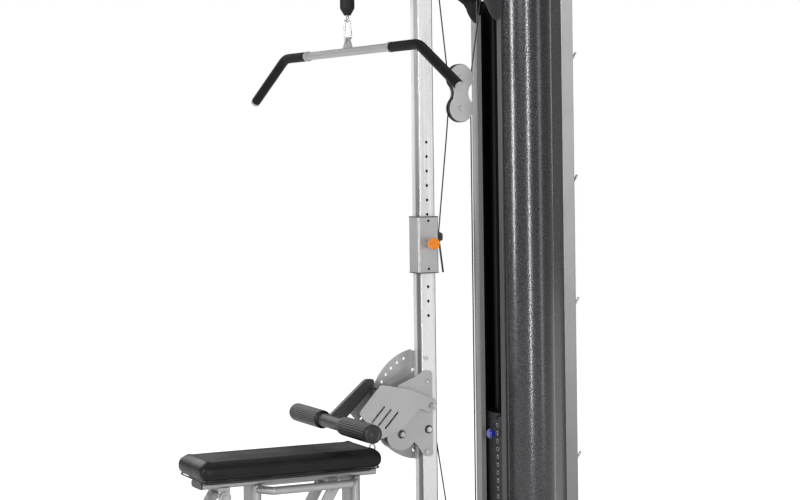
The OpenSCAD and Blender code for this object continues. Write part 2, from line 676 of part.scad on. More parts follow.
// ---------- cables ----------
// wrap angles where each run leaves its pulley
left_a = 6.5;
right_a = 10;
rear_a = 9;
clip_a = 120;
split_z = 1560;
row_path = concat([[-205, 540]], arc(row_front_c, sheave_r, clip_a, 86, 4),
    arc(row_rear_c, row_rear_r, 86, rear_a, 8), arc(base_c, sheave_r, 180 + rear_a, 360, 18));
boom_path = concat(arc(boom_c, sheave_r, left_a, 90, 9), arc(front_c, sheave_r, 90, 180, 9));
tower_path = arc(tower_c, sheave_r, 180 - right_a, 0, 18);
module cable_fixed() color("black") {
    cable(yz(row_path));
    cable(yz(boom_path));
    cable(yz(tower_path));
    // ball stop and clip of the row cable
    translate([0, -205, 533]) sphere(11);
    rod([0, -205, 529], [0, -207, 514], 5);
    translate([0, -207, 499]) rotate([0, 90, 0]) rotate_extrude() translate([13, 0]) circle(3);
}
float_low_path = concat([base_c + [sheave_r, gap]], arc(float_low, sheave_r, 0, 180 - left_a, 18),
    [[93, split_z]]);
float_up_path = concat([boom_path[0] - [0, gap]], arc(float_up, sheave_r, 180 + left_a, 360 - right_a, 17),
    [tower_path[0] - [0.1, gap]]);
module cable_float() color("black") {
    cable(yz(float_low_path));
    cable(yz(float_up_path));
}
module cable_carriage() color("black")
    cable(yz([[93, split_z - gap], [clevis_c[0], clevis_c[1] + 12]]));
stop_z = 1980;
module cable_bar() color("black")
    cable(yz([[bar_y, top_z - gap], [bar_y, stop_z + 88]]));
module cable_stack() color("black")
    cable(yz([[stack_y, top_z - gap], [stack_y, head_z + 55]]));

// ---------- lat bar ----------
bar_z = 1856;
bar_yaw = 4.5;
bend_a = atan(bar_drop / (bar_half - bar_bend));
bend_r = 90;
grip_in = 300;
swivel_r = 5;
module rubber_stop() color("black") translate([0, bar_y, stop_z]) rotate_extrude()
    polygon([[swivel_r + fit, 0], [11, 0], [25, 24], [25, 80], [20, 88], [0, 88], [0, 20], [swivel_r + fit, 20]]);
module at_bar() translate([0, bar_y, 0]) rotate([0, 0, bar_yaw]) children();
// swivel eye and pear-shaped snap hook
module carabiner() color("silver") at_bar() {
    wire = 3.5;
    eye_z = stop_z - 12;
    top = eye_z - 2.6;
    low = bar_z + 40;
    translate([0, 0, eye_z]) rotate([90, 0, 0]) rotate_extrude() translate([9, 0]) circle(2.4);
    translate([0, 0, eye_z + 9]) cylinder(r = swivel_r, h = 22);
    translate([0, 0, top - 9]) rotate([90, 0, 90]) rotate_extrude(angle = 180) translate([9, 0]) circle(wire);
    translate([0, 0, low + 14]) rotate([90, 0, 90]) rotate_extrude(angle = -180) translate([14, 0]) circle(wire);
    for (s = [-1, 1]) rod([0, s * 9, top - 9], [0, s * 14, low + 14], wire);
}
module half_bar(r, x0) {
    l = (bar_half - bar_bend) / cos(bend_a);
    t = bend_r * tan(bend_a / 2);
    translate([x0, 0, 0]) rotate([0, 90, 0]) cylinder(r = r, h = bar_bend - t - x0);
    translate([bar_bend - t, 0, -bend_r]) rotate([90, 0, 0]) rotate([0, 0, 90 - bend_a])
        rotate_extrude(angle = bend_a) translate([bend_r, 0]) circle(r);
    translate([bar_bend, 0, 0]) rotate([0, 90 + bend_a, 0]) translate([0, 0, t])
        cylinder(r = r, h = l - t);
}
module lat_bar() color("silver") at_bar() {
    translate([0, 0, bar_z]) both() half_bar(bar_d / 2, 0);
    // collars and end plugs
    translate([0, 0, bar_z]) both() {
        translate([grip_in - 14, 0, 0]) rotate([0, 90, 0]) cylinder(r = bar_d / 2 + grip_t + 0.5, h = 14);
        translate([bar_half, 0, -bar_drop]) rotate([0, 90 + bend_a, 0])
            cylinder(r = bar_d / 2 + grip_t, h = 10);
    }
    difference() {
        translate([0, 3, 0]) rotate([90, 0, 0]) linear_extrude(6)
            polygon(rounded([[-34, bar_z + 6], [34, bar_z + 6], [10, bar_z + 50], [-10, bar_z + 50]],
                [2, 2, 9, 9]));
        translate([0, 4, bar_z + 37.2]) rotate([90, 0, 0]) cylinder(r = 7, h = 8);
    }
}
module bar_grips() color("black") at_bar() translate([0, 0, bar_z]) both() difference() {
    half_bar(bar_d / 2 + grip_t, grip_in);
    half_bar(bar_d / 2, grip_in - 1);
}

at_upright() base_beam();
at_upright() cross_feet();
at_upright() rubber_feet();
at_upright() foot_plates();
at_upright() tower_base();
at_upright() upright_post();
at_upright() boom_channel();
at_upright() boom_braces();
at_upright() rear_column();
at_upright() column_cap();
at_upright() front_trims();
at_upright() shroud_right();
at_upright() shroud_left();
at_upright() accessory_pegs();
at_upright() guide_rods();
at_upright() stack_buffers();
at_upright() weight_plates();
at_upright() lifted_plates();
at_upright() head_plate();
at_upright() selector_stem();
at_upright() selector_pin();
at_upright() pin_knob();
at_upright() pin_lanyard();
at_upright() front_sheave();
at_upright() boom_sheave();
at_upright() tower_sheave();
at_upright() float_sheave_upper();
at_upright() float_sheave_lower();
at_upright() row_sheave_front();
at_upright() row_sheave_rear();
at_upright() base_sheave();
at_upright() frame_bolts();
at_upright() float_plates();
at_upright() carriage_sleeve();
at_upright() carriage_bushings();
at_upright() carriage_knob();
at_upright() cable_clevis();
at_upright() sector_plate();
at_upright() row_plates();
at_upright() hinge_bolt();
at_upright() lever_plates();
at_upright() lever_arm();
at_upright() hold_pin();
at_upright() roller_right();
at_upright() roller_left();
at_upright() seat_posts();
at_upright() seat_pad();
at_upright() seat_board();
at_upright() seat_rail();
at_upright() front_links();
at_upright() rear_links();
at_upright() cable_fixed();
at_upright() cable_float();
at_upright() cable_carriage();
at_upright() cable_bar();
at_upright() cable_stack();
at_upright() rubber_stop();
at_upright() carabiner();
at_upright() lat_bar();
at_upright() bar_grips();
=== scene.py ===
"""Looks for a lat pulldown machine: finishes for its frame, upholstery, rollers, cables and shrouds."""
import json
import math

import bpy
from bpy.props import FloatProperty, FloatVectorProperty, PointerProperty
from mathutils import Matrix, Vector, noise


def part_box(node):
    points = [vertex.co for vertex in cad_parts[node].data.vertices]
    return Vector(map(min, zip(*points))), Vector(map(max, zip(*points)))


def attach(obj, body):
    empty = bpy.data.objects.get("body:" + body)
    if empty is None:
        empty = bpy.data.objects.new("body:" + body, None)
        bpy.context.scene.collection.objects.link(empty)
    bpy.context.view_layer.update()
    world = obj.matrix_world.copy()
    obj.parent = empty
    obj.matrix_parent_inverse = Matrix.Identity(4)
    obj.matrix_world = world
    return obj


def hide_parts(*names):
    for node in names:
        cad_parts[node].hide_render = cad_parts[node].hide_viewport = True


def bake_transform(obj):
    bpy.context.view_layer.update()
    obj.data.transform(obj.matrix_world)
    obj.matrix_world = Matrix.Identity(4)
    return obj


bl_info = {
    "name": "Lat Pulldown Machine",
    "version": (1, 0, 0),
    "blender": (4, 5, 0),
    "location": "View3D > Sidebar > Pulldown",
    "description": "Builds the soft parts, cables, shrouds and finishes of a lat pulldown machine",
    "category": "Object",
}

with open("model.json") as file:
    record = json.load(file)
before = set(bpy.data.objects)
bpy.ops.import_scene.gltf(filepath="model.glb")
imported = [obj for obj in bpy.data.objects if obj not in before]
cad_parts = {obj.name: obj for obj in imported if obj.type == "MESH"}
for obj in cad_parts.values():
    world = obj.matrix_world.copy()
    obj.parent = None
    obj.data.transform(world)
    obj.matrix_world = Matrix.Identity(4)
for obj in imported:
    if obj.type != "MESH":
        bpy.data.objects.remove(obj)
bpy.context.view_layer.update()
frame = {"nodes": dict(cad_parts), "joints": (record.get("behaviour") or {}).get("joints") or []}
NODES = frame["nodes"]
JOINTS = {joint["name"]: joint for joint in frame["joints"]}


def pivot(joint):
    """Where a hinge turns, in metres."""
    return Vector(JOINTS[joint]["pos_m"])


def grey(level):
    """A screen grey from 0 to 255 as a linear value."""
    share = level / 255
    return share / 12.92 if share <= 0.04045 else ((share + 0.055) / 1.055) ** 2.4


def tone(red, green, blue):
    """A screen colour as linear RGB."""
    return grey(red), grey(green), grey(blue)


# ---------------------------------------------------------------- sizes and colours

def metres(name, description, default):
    return FloatProperty(name=name, description=description, default=default, unit="LENGTH", precision=4)


def colour(name, description, default):
    return FloatVectorProperty(name=name, description=description, default=default, subtype="COLOR",
                               size=3, min=0, max=1)


class PulldownSizes(bpy.types.PropertyGroup):
    """Sizes that the finished pieces take beside the frame's own."""
    cable: metres("Cable", "Diameter of a jacketed cable", 0.005)
    wrap: metres("Wrap radius", "Pulley radius to the middle of the cable", 0.044)
    crown: metres("Seat crown", "Rise of the seat pad's middle", 0.004)
    bevel: metres("Seat bevel", "Width of the sloped upper edge of the seat pad", 0.019)
    flute: metres("Roller flute", "Depth of the flutes in the roller foam", 0.0014)
    hem: metres("Shroud hem", "Depth of the folded front edge of a shroud", 0.012)
    wall: metres("Shroud wall", "Thickness of the shroud's sheet", 0.0025)


class PulldownColours(bpy.types.PropertyGroup):
    """Base colours of the finishes."""
    silver: colour("Silver", "Satin silver paint", tone(166, 166, 166))
    bright: colour("Bright tube", "Bright plated upright", tone(226, 226, 227))
    graphite: colour("Graphite", "Hammered grey powder coat", tone(62, 62, 64))
    vinyl: colour("Vinyl", "Seat upholstery", tone(17, 17, 18))
    foam: colour("Foam", "Roller foam", tone(9, 9, 10))
    orange: colour("Orange", "Carriage knob", tone(222, 126, 12))
    blue: colour("Blue", "Selector knob", tone(24, 40, 150))


# ---------------------------------------------------------------- shader helpers

class Value:
    """A socket of a finish's node tree that takes part in plain arithmetic."""

    def __init__(self, finish, socket):
        self.finish = finish
        self.socket = socket

    def _maths(self, operation, first, second):
        return self.finish.node("ShaderNodeMath", {"operation": operation}, {0: first, 1: second})

    def __add__(self, other):
        return self._maths("ADD", self, other)

    def __sub__(self, other):
        return self._maths("SUBTRACT", self, other)

    def __rsub__(self, other):
        return self._maths("SUBTRACT", other, self)

    def __mul__(self, other):
        return self._maths("MULTIPLY", self, other)

    def __gt__(self, other):
        return self._maths("GREATER_THAN", self, other)


class Finish:
    """A procedural material, written node by node."""

    def __init__(self, name):
        self.material = bpy.data.materials.new(name)
        self.material.use_nodes = True
        self.tree = self.material.node_tree
        self.tree.nodes.clear()
        self.output = self.tree.nodes.new("ShaderNodeOutputMaterial")
        self.place = self.node("ShaderNodeTexCoord", out="Object")

    def node(self, kind, settings=None, inputs=None, out=0):
        made = self.tree.nodes.new(kind)
        for key, setting in (settings or {}).items():
            setattr(made, key, setting)
        for key, given in (inputs or {}).items():
            if isinstance(given, Value):
                self.tree.links.new(given.socket, made.inputs[key])
            else:
                made.inputs[key].default_value = given
        return Value(self, made.outputs[out])

    def noise(self, scale, detail=3.0, stretch=(1, 1, 1)):
        where = self.node("ShaderNodeMapping", {}, {"Vector": self.place, "Scale": stretch})
        return self.node("ShaderNodeTexNoise", {}, {"Vector": where, "Scale": scale, "Detail": detail})

    def cells(self, scale, feature):
        return self.node("ShaderNodeTexVoronoi", {"feature": feature}, {"Vector": self.place, "Scale": scale})

    def axis(self, letter):
        return self.node("ShaderNodeSeparateXYZ", {}, {0: self.place}, out=letter)

    def ramp(self, fac, low, high, first=0.0, last=1.0):
        """Value from first to last as fac goes from low to high."""
        return self.node("ShaderNodeMapRange", {"interpolation_type": "SMOOTHSTEP"},
                         {"Value": fac, "From Min": low, "From Max": high, "To Min": first, "To Max": last})

    def blend(self, fac, first, second):
        """Colour between first and second."""
        def full(given):
            return given if isinstance(given, Value) else (*given, 1)
        sockets = {0: fac, 6: full(first), 7: full(second)}
        return self.node("ShaderNodeMix", {"data_type": "RGBA"}, sockets, out=2)

    def shade(self, base, rough, metal=0.0, height=None, depth=0.0002, coat=0.0, specular=0.5):
        made = self.tree.nodes.new("ShaderNodeBsdfPrincipled")
        sockets = {"Base Color": base, "Roughness": rough, "Metallic": metal, "Coat Weight": coat,
                   "Specular IOR Level": specular, "Coat Roughness": 0.12}
        for key, given in sockets.items():
            if isinstance(given, Value):
                self.tree.links.new(given.socket, made.inputs[key])
            elif key == "Base Color":
                made.inputs[key].default_value = (*given, 1)
            else:
                made.inputs[key].default_value = given
        if height is not None:
            bump = self.node("ShaderNodeBump", {}, {"Height": height, "Distance": depth, "Strength": 1.0})
            self.tree.links.new(bump.socket, made.inputs["Normal"])
        self.tree.links.new(made.outputs[0], self.output.inputs[0])
        return self.material


def dim(shade, share):
    return tuple(part * share for part in shade)


# ---------------------------------------------------------------- finishes

def satin_silver(look, name="satin_silver", share=1.0, painted_floor_shade=0.0):
    """Metallic silver paint with a fine flake. It can darken towards the floor as painted shade."""
    finish = Finish(name)
    flake = finish.noise(900, 2)
    cloud = finish.noise(7, 2)
    shade = dim(look.silver, share)
    base = finish.blend(finish.ramp(flake, 0.3, 0.7), dim(shade, 0.84), dim(shade, 1.12))
    base = finish.blend(finish.ramp(cloud, 0.35, 0.7) * 0.35, base, dim(shade, 0.8))
    # painted shade: the paint darkens towards the floor
    painted_floor_shade_range = {"Value": finish.axis("Z"), "From Min": 0.4, "From Max": 2.0, "To Min": painted_floor_shade, "To Max": 0}
    base = finish.blend(finish.node("ShaderNodeMapRange", {}, painted_floor_shade_range), base, dim(shade, 0.1))
    return finish.shade(base, finish.ramp(flake, 0.3, 0.7, 0.34, 0.46), 0.5, flake, 0.00006)


def bright_tube(look):
    """Bright plating with painted shade: darker low down, on half of the front and at the corners, with a
    black rear edge.
    """
    finish = Finish("bright_tube")
    low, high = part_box("upright_post")
    middle = (low.y + high.y) / 2
    across = finish.node("ShaderNodeMath", {"operation": "ABSOLUTE"}, {0: finish.axis("Y") - middle})
    side = finish.node("ShaderNodeMath", {"operation": "ABSOLUTE"}, {0: finish.axis("X")})
    on_side = finish.ramp(side, 0.0285, 0.0296)
    front = finish.ramp(finish.axis("Y") - middle, -0.0296, -0.0285, 1, 0)
    groove = finish.ramp(across, 0.0236, 0.0262) * on_side
    stripe = finish.noise(60, 1, (1, 1, 0.02))
    # painted shade: the plating darkens low down; the smear on top of it is random tone
    painted_low_shade = finish.ramp(finish.axis("Z"), 1.1, 1.9, 1, 0)
    smear = finish.ramp(finish.noise(5, 2, (1, 1, 0.5)), 0.5, 0.62)
    base = finish.blend(painted_low_shade * 0.3 + smear * 0.2, look.bright, dim(look.bright, 0.6))
    base = finish.blend(groove * 0.3, base, tone(150, 150, 151))
    # painted shade: half of the front face darkens, more so low down
    inner = finish.ramp(finish.axis("X"), -0.006, 0.008) * front
    base = finish.blend(inner * (painted_low_shade * 0.3 + 0.55), base, tone(54, 55, 56))
    # painted shade: a black band along the rear edge, with less metal and more roughness
    rear = finish.ramp(finish.axis("Y") - middle, 0.0244, 0.0256) * finish.ramp(side, 0.014, 0.02)
    base = finish.blend(rear, base, tone(8, 8, 8))
    # painted shade: the rounded corners darken, with less metal
    corner = finish.ramp(across, 0.0262, 0.0276) * finish.ramp(side, 0.0262, 0.0276)
    base = finish.blend(corner * 0.7, base, tone(60, 60, 61))
    rough = finish.ramp(stripe, 0.3, 0.7, 0.22, 0.34) + rear * 0.4
    return finish.shade(base, rough, 0.45 - (rear + corner * 0.5) * 0.45, stripe, 0.00002)


def graphite(look):
    """Dark powder coat with a fine hammered skin; faces that look at the stack are painted black as shade."""
    finish = Finish("hammered_graphite")
    stack = (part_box("lifted_plates")[0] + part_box("lifted_plates")[1]) / 2
    vector = "ShaderNodeVectorMath"
    toward = finish.node(vector, {"operation": "SUBTRACT"}, {0: tuple(stack), 1: finish.place})
    flat = finish.node(vector, {"operation": "MULTIPLY"}, {0: toward, 1: (1, 1, 0)})
    skin = finish.node("ShaderNodeTexCoord", out="Normal")
    inner = finish.node(vector, {"operation": "DOT_PRODUCT"}, {0: skin, 1: flat}, out="Value") > 0
    dimple = finish.cells(300, "SMOOTH_F1")
    speck = finish.noise(330, 4)
    cloud = finish.noise(9, 3, (1, 1, 0.25))
    base = finish.blend(finish.ramp(speck, 0.36, 0.64), dim(look.graphite, 0.5), dim(look.graphite, 1.75))
    base = finish.blend(finish.ramp(cloud, 0.3, 0.75) * 0.4, base, dim(look.graphite, 0.7))
    # painted shade: faces that look at the stack turn black and rougher
    base = finish.blend(inner, base, tone(10, 10, 11))
    rough = finish.ramp(speck, 0.3, 0.7, 0.17, 0.28) + inner * 0.25
    return finish.shade(base, rough, 0.6, dimple, 0.0002, coat=0.15)


def edge_strip(look):
    """Front strips of the shrouds: the left one is bare silver, the right one has the dark coat."""
    finish = Finish("shroud_edge_strip")
    speck = finish.noise(520, 3)
    side = finish.ramp(finish.axis("X"), -0.01, 0.01)
    base = finish.blend(side, dim(look.silver, 0.95), dim(look.graphite, 0.85))
    base = finish.blend(finish.ramp(speck, 0.3, 0.7) * 0.4, base, dim(look.silver, 0.3))
    return finish.shade(base, finish.ramp(speck, 0.3, 0.7, 0.3, 0.45), 0.4, speck, 0.0001)


def dark_frame(look):
    """The same coat on the tubes, a little duller."""
    finish = Finish("dark_frame_coat")
    speck = finish.noise(600, 3)
    base = finish.blend(finish.ramp(speck, 0.35, 0.65), dim(look.graphite, 0.5), dim(look.graphite, 1.05))
    return finish.shade(base, finish.ramp(speck, 0.3, 0.7, 0.36, 0.5), 0.3, speck, 0.00012)


def rubber(name, level, scale, specular=0.25):
    """Grained rubber round a screen grey."""
    finish = Finish(name)
    grain = finish.noise(scale, 4)
    base = finish.blend(finish.ramp(grain, 0.3, 0.7), tone(*[level * 0.8] * 3), tone(*[level * 1.25] * 3))
    return finish.shade(base, finish.ramp(grain, 0.3, 0.7, 0.5, 0.68), 0.0, grain, 0.0002, specular=specular)


def moulded(name, shade, rough=0.36):
    """Moulded plastic with a faint orange-peel skin."""
    finish = Finish(name)
    peel = finish.noise(260, 2)
    cloud = finish.noise(30, 2)
    base = finish.blend(finish.ramp(cloud, 0.3, 0.7), dim(shade, 0.9), dim(shade, 1.08))
    return finish.shade(base, finish.ramp(peel, 0.3, 0.7, rough - 0.05, rough + 0.08), 0.0, peel, 0.00008)


def knob(name, shade):
    """Glossy knob plastic."""
    finish = Finish(name)
    cloud = finish.noise(90, 2)
    base = finish.blend(finish.ramp(cloud, 0.3, 0.7), dim(shade, 0.88), shade)
    return finish.shade(base, finish.ramp(cloud, 0.3, 0.7, 0.2, 0.3), 0.0, cloud, 0.0001, coat=0.5)


def plated_steel():
    """Zinc-plated steel with turned lines."""
    finish = Finish("plated_steel")
    line = finish.noise(240, 3, (0.2, 1, 1))
    cloud = finish.noise(50, 2)
    base = finish.blend(finish.ramp(cloud, 0.3, 0.7), tone(150, 151, 153), tone(206, 207, 209))
    return finish.shade(base, finish.ramp(line, 0.3, 0.7, 0.18, 0.34), 0.9, line, 0.00004)


def cast_iron():
    """Black paint over rough cast plates."""
    finish = Finish("painted_cast_iron")
    pit = finish.noise(380, 5)
    base = finish.blend(finish.ramp(pit, 0.35, 0.7), tone(5, 5, 6), tone(16, 16, 17))
    return finish.shade(base, finish.ramp(pit, 0.3, 0.7, 0.4, 0.62), 0.1, pit, 0.0004)


def grained_vinyl(look):
    """Upholstery vinyl: pebbled cells over soft creases."""
    finish = Finish("grained_vinyl")
    pebble = finish.cells(520, "F1")
    crease = finish.cells(160, "DISTANCE_TO_EDGE")
    cloud = finish.noise(12, 3)
    base = finish.blend(finish.ramp(pebble, 0.1, 0.6), dim(look.vinyl, 1.15), dim(look.vinyl, 0.75))
    base = finish.blend(finish.ramp(cloud, 0.35, 0.7) * 0.4, base, dim(look.vinyl, 1.5))
    height = (1 - pebble) + finish.ramp(crease, 0.0, 0.12) * 0.5
    return finish.shade(base, finish.ramp(cloud, 0.3, 0.7, 0.34, 0.44), 0.0, height, 0.00018, specular=0.2)


def roller_foam(look):
    """Closed-cell foam with a dull skin."""
    finish = Finish("roller_foam")
    pore = finish.noise(900, 4)
    cloud = finish.noise(25, 2, (0.3, 1, 1))
    base = finish.blend(finish.ramp(pore, 0.3, 0.7), dim(look.foam, 0.75), dim(look.foam, 1.3))
    base = finish.blend(finish.ramp(cloud, 0.4, 0.7) * 0.4, base, dim(look.foam, 1.6))
    return finish.shade(base, finish.ramp(pore, 0.3, 0.7, 0.28, 0.42), 0.0, pore, 0.00015, specular=0.26)


def cable_jacket():
    """Black nylon jacket that shows the strands under it."""
    finish = Finish("cable_jacket")
    lay = finish.noise(900, 1, (1, 1, 0.4))
    base = finish.blend(finish.ramp(lay, 0.3, 0.7), tone(8, 8, 9), tone(24, 24, 25))
    return finish.shade(base, finish.ramp(lay, 0.3, 0.7, 0.3, 0.46), 0.0, lay, 0.0002)


def paint(material, *names):
    """Gives a finish to CAD nodes."""
    for name in names:
        mesh = NODES[name].data
        mesh.materials.clear()
        mesh.materials.append(material)


# ---------------------------------------------------------------- modelling helpers

def deselect():
    if bpy.context.object and bpy.context.object.mode != "OBJECT":
        bpy.ops.object.mode_set(mode="OBJECT")
    bpy.ops.object.select_all(action="DESELECT")


def active(piece):
    deselect()
    piece.select_set(True)
    bpy.context.view_layer.objects.active = piece


def named(name, material, body, *replaced, slot):
    """Names the active piece, settles its place in its mesh, and gives it a finish and a body."""
    piece = bpy.context.object
    piece.name = name
    piece.data.name = name
    bpy.ops.object.transform_apply(location=True, rotation=True, scale=True)
    piece.data.materials.clear()
    piece.data.materials.append(material)
    if body:
        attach(piece, body)
    if replaced:
        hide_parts(*replaced)
    return piece


def modifier(piece, kind, **settings):
    """Adds a modifier and applies it."""
    active(piece)
    made = piece.modifiers.new(kind.title(), kind)
    for key, setting in settings.items():
        setattr(made, key, setting)
    bpy.ops.object.modifier_apply(modifier=made.name)


def smooth(piece, angle):
    active(piece)
    bpy.ops.object.shade_smooth_by_angle(angle=math.radians(angle))


def edit_all(piece):
    """Opens a piece for editing with all of it selected."""
    active(piece)
    bpy.ops.object.mode_set(mode="EDIT")
    bpy.ops.mesh.select_mode(type="VERT")
    bpy.ops.mesh.select_all(action="SELECT")


def outward(piece):
    edit_all(piece)
    bpy.ops.mesh.remove_doubles(threshold=0.00001)
    bpy.ops.mesh.normals_make_consistent(inside=False)
    bpy.ops.object.mode_set(mode="OBJECT")


def outline(points, closed=False):
    """Adds a wire through points as the active mesh."""
    deselect()
    bpy.ops.mesh.primitive_circle_add(vertices=3, radius=0.01)
    piece = bpy.context.object
    mesh = piece.data
    mesh.clear_geometry()
    count = len(points)
    edges = [(i, (i + 1) % count) for i in range(count if closed else count - 1)]
    mesh.from_pydata([tuple(point) for point in points], edges, [])
    return piece


def lathe(profile, centre, axis, steps):
    """Spins a profile of (distance along the axis, radius) about the axis through centre."""
    side = Vector((0, 0, 1)) if abs(axis[2]) < 0.5 else Vector((0, 1, 0))
    along = Vector(axis)
    piece = outline([Vector(centre) + along * step + side * radius for step, radius in profile])
    edit_all(piece)
    bpy.ops.mesh.spin(steps=steps, angle=math.tau, center=centre, axis=axis)
    bpy.ops.object.mode_set(mode="OBJECT")
    outward(piece)
    return piece


def arc(centre, radius, first, last, steps):
    """Points in the YZ plane, angles in degrees from +Y towards +Z."""
    turns = [math.radians(first + (last - first) * i / steps) for i in range(steps + 1)]
    return [Vector((centre[0], centre[1] + radius * math.cos(turn), centre[2] + radius * math.sin(turn)))
            for turn in turns]


def tube(points, radius, sides=4, cyclic=False):
    """A round tube along points, as a mesh. It has 4 times sides round its girth."""
    deselect()
    bpy.ops.curve.primitive_bezier_curve_add()
    piece = bpy.context.object
    curve = piece.data
    curve.splines.clear()
    spline = curve.splines.new("POLY")
    spline.points.add(len(points) - 1)
    for spot, point in zip(spline.points, points):
        spot.co = (*point, 1)
    spline.use_cyclic_u = cyclic
    curve.bevel_depth = radius
    curve.bevel_resolution = sides
    curve.use_fill_caps = True
    curve.dimensions = "3D"
    bpy.ops.object.convert(target="MESH")
    outward(bpy.context.object)
    smooth(bpy.context.object, 50)


def between(first, last, steps):
    return [Vector(first).lerp(Vector(last), i / steps) for i in range(steps + 1)]


# ---------------------------------------------------------------- operators

class PieceOperator:
    """What every operator here shares."""
    bl_options = {"REGISTER"}

    @property
    def sizes(self):
        return bpy.context.scene.pulldown_sizes

    @property
    def look(self):
        return bpy.context.scene.pulldown_colours


class PULLDOWN_OT_stage(PieceOperator, bpy.types.Operator):
    """Floor, studio light and the camera"""
    bl_idname = "pulldown.stage"
    bl_label = "Stage"

    def execute(self, context):
        self.camera(context)
        self.floor()
        self.world(context)
        self.lamps()
        return {"FINISHED"}

    def camera(self, context):
        low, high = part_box("upright_post")
        middle = (low.y + high.y) / 2
        # how far the camera stands to the right of the upright, in front of it and above the floor
        right, front, up = 5.873, 2.925, 1.491
        heading = math.radians(64.3)
        roll = math.radians(-0.72)
        ahead = Vector((-math.sin(heading), math.cos(heading), 0))
        deselect()
        bpy.ops.object.camera_add(location=(right, middle - front, up))
        camera = context.object
        turn = ahead.to_track_quat("-Z", "Y").to_matrix() @ Matrix.Rotation(roll, 3, "Z")
        camera.rotation_euler = turn.to_euler()
        camera.data.lens = 85
        camera.data.shift_x = 0.0036
        camera.data.shift_y = -0.1145
        context.scene.camera = camera

    def floor(self):
        deselect()
        bpy.ops.mesh.primitive_circle_add(vertices=96, radius=14, fill_type="NGON", location=(0, 0, 0))
        floor = bpy.context.object
        floor.name = "studio_floor"
        finish = Finish("studio_floor")
        rays = finish.node("ShaderNodeLightPath", out="Is Camera Ray")
        shine = finish.node("ShaderNodeLightPath", out="Is Glossy Ray")
        matt = finish.node("ShaderNodeBsdfDiffuse", {}, {"Color": (0.8, 0.8, 0.8, 1)})
        glow = finish.node("ShaderNodeEmission", {}, {"Color": (1, 1, 1, 1), "Strength": 1.5})
        mixed = finish.node("ShaderNodeMixShader", {}, {0: rays * 0.65 + shine * 0.5, 1: matt, 2: glow})
        finish.tree.links.new(mixed.socket, finish.output.inputs[0])
        floor.data.materials.append(finish.material)

    def world(self, context):
        world = bpy.data.worlds.new("studio")
        context.scene.world = world
        world.use_nodes = True
        tree = world.node_tree
        tree.nodes.clear()
        path = tree.nodes.new("ShaderNodeLightPath")
        seen = tree.nodes.new("ShaderNodeMath")
        seen.operation = "MAXIMUM"
        tree.links.new(path.outputs["Is Camera Ray"], seen.inputs[0])
        tree.links.new(path.outputs["Is Transmission Ray"], seen.inputs[1])
        strength = tree.nodes.new("ShaderNodeMapRange")
        strength.inputs["To Min"].default_value = 0.26
        strength.inputs["To Max"].default_value = 1.0
        tree.links.new(seen.outputs[0], strength.inputs["Value"])
        shine = tree.nodes.new("ShaderNodeMath")
        shine.operation = "MULTIPLY_ADD"
        shine.inputs[1].default_value = 0.08
        tree.links.new(path.outputs["Is Glossy Ray"], shine.inputs[0])
        tree.links.new(strength.outputs[0], shine.inputs[2])
        back = tree.nodes.new("ShaderNodeBackground")
        back.inputs["Color"].default_value = (1, 1, 1, 1)
        tree.links.new(shine.outputs[0], back.inputs["Strength"])
        output = tree.nodes.new("ShaderNodeOutputWorld")
        tree.links.new(back.outputs[0], output.inputs[0])

    def lamps(self):
        # name, place, aim, width, height, watts
        rows = [("key", (4.4, -3.4, 3.4), (0, 0, 1.1), 1.8, 1.8, 45),
                ("strip_front", (0.9, -3.9, 2.3), (0.1, 0.5, 1.7), 0.12, 2.8, 120),
                ("strip_side", (4.45, -0.62, 1.5), (0.1, 0.5, 1.4), 0.05, 3.4, 95),
                ("sweep_side", (3.5, 2.95, 1.5), (0.1, 0.5, 1.4), 0.8, 3.0, 22),
                ("fill_rear", (-3.4, 3.6, 2.4), (0, 0.2, 1.2), 2.4, 2.4, 40),
                ("fill_left", (-4.5, -0.5, 2.4), (0, 0, 1.0), 2.6, 2.6, 40),
                ("top", (0, 0, 4.6), (0, 0, 0), 3.0, 3.0, 26)]
        for name, place, aim, width, height, watts in rows:
            deselect()
            bpy.ops.object.light_add(type="AREA", location=place)
            lamp = bpy.context.object
            lamp.name = name
            lamp.data.shape = "RECTANGLE"
            lamp.data.size = width
            lamp.data.size_y = height
            lamp.data.energy = watts
            lamp.rotation_euler = (Vector(aim) - Vector(place)).to_track_quat("-Z", "Y").to_euler()
            lamp.visible_camera = False


